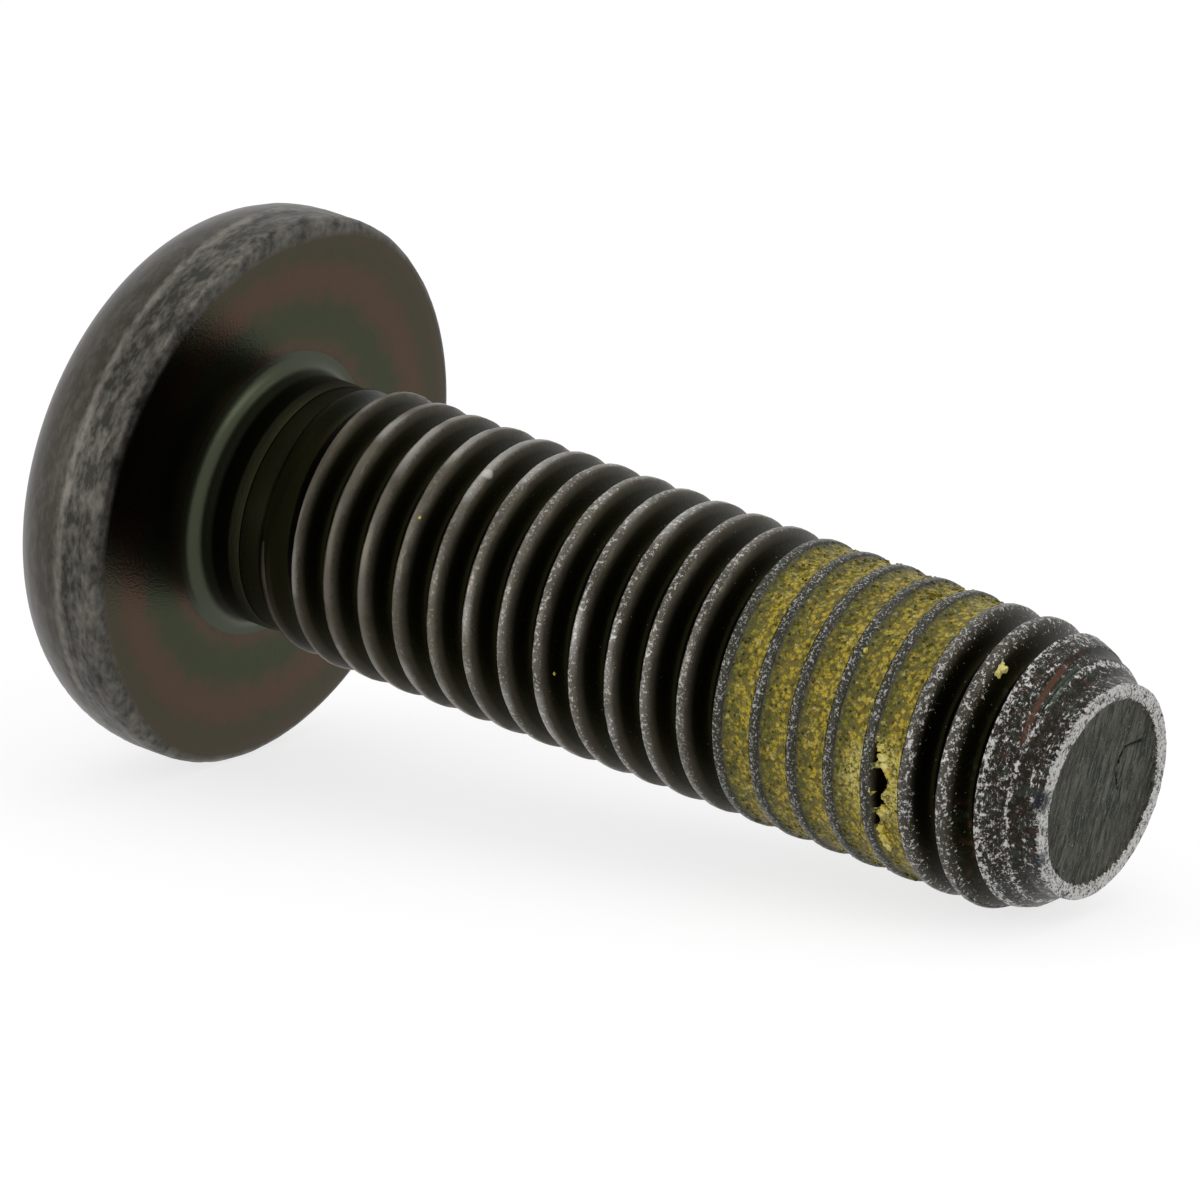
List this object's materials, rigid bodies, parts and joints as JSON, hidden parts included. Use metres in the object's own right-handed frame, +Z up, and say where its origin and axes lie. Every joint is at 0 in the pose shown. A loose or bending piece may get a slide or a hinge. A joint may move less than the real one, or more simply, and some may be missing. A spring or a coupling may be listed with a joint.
{
  "type": "pan head machine screw",
  "caption": "Pan head machine screw with a rolled right-hand thread, a chamfered tip, a lobed drive socket and a dried locking patch on the thread near the tip.",
  "frame": {"origin": "centre of the underside of the lying screw's box, on the surface that it lies on", "axes": "+Z up, +X along the screw as it lies, from head to tip. The screw's own axis points 8.866 degrees below +X, because the head is wider than the thread."},
  "size_m": [0.0412, 0.0198, 0.0199],
  "materials": {
    "coated_steel": "dark brown-black coating, worn to grey metal on the thread crests near the tip",
    "dried_adhesive": "granular yellow-olive foam"
  },
  "bodies": {
    "root": {"screw": "coated_steel", "locking_patch": "dried_adhesive"}
  },
  "joints": []
}
